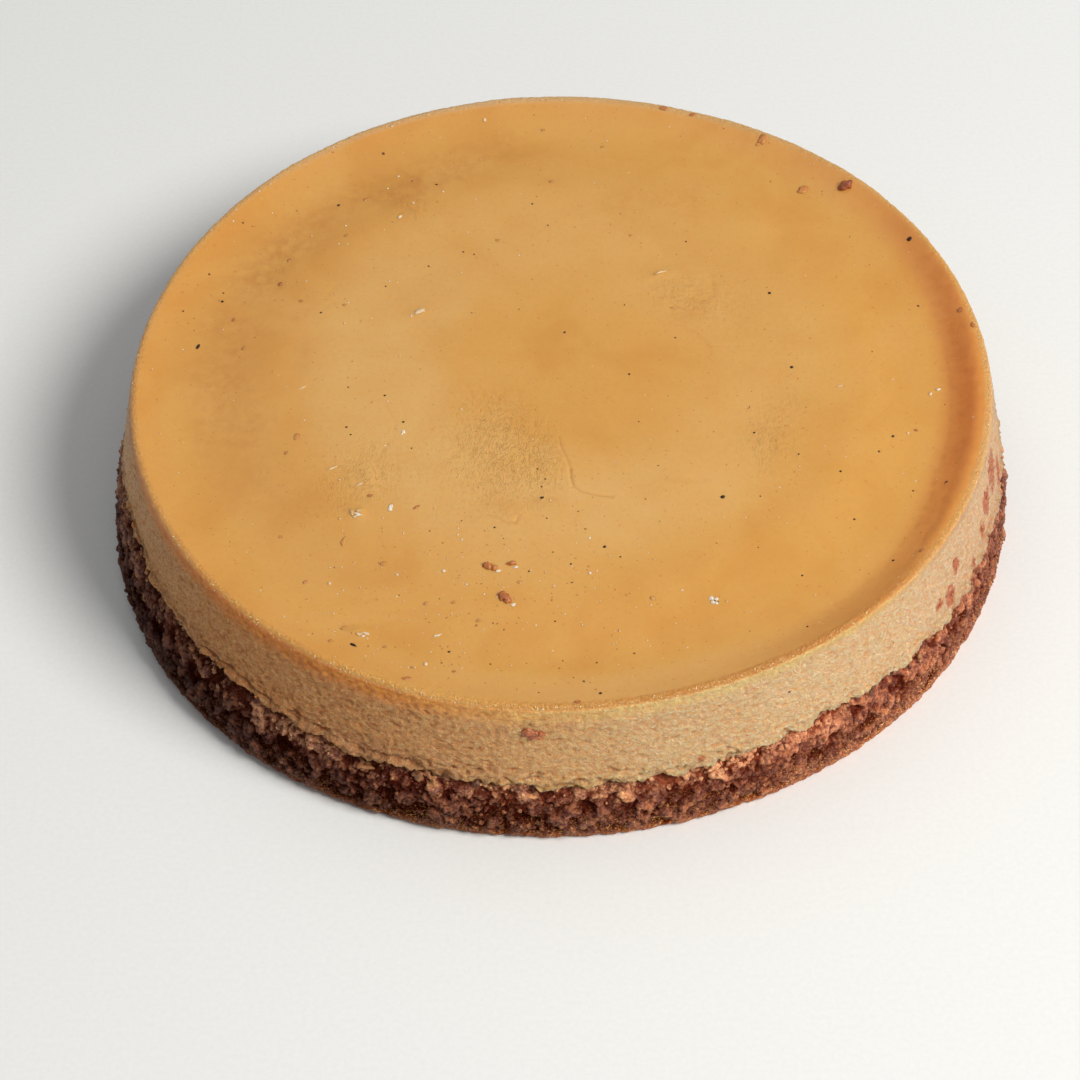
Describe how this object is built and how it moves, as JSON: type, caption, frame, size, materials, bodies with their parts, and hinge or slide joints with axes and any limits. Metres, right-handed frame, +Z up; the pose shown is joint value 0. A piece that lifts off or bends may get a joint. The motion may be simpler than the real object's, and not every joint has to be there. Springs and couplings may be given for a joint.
{
  "type": "chocoflan cake",
  "caption": "Low round two-layer dessert cake: dark chocolate sponge base under a thick pale custard layer with a caramel-coloured dished top and a raised rim.",
  "frame": {"origin": "on the flat underside of the sponge, under the middle of the cake's box", "axes": "+Z up through the layers, -Y towards the side shown at the front, +X to the right"},
  "size_m": [0.2468, 0.246, 0.0443],
  "materials": {
    "sponge": "matte",
    "custard": "matte",
    "caramel_skin": "satin",
    "crumb": "satin",
    "pale_speck": "satin",
    "dark_speck": "satin"
  },
  "bodies": {
    "root": {"sponge_base": "sponge", "custard_layer": "custard"}
  },
  "joints": []
}
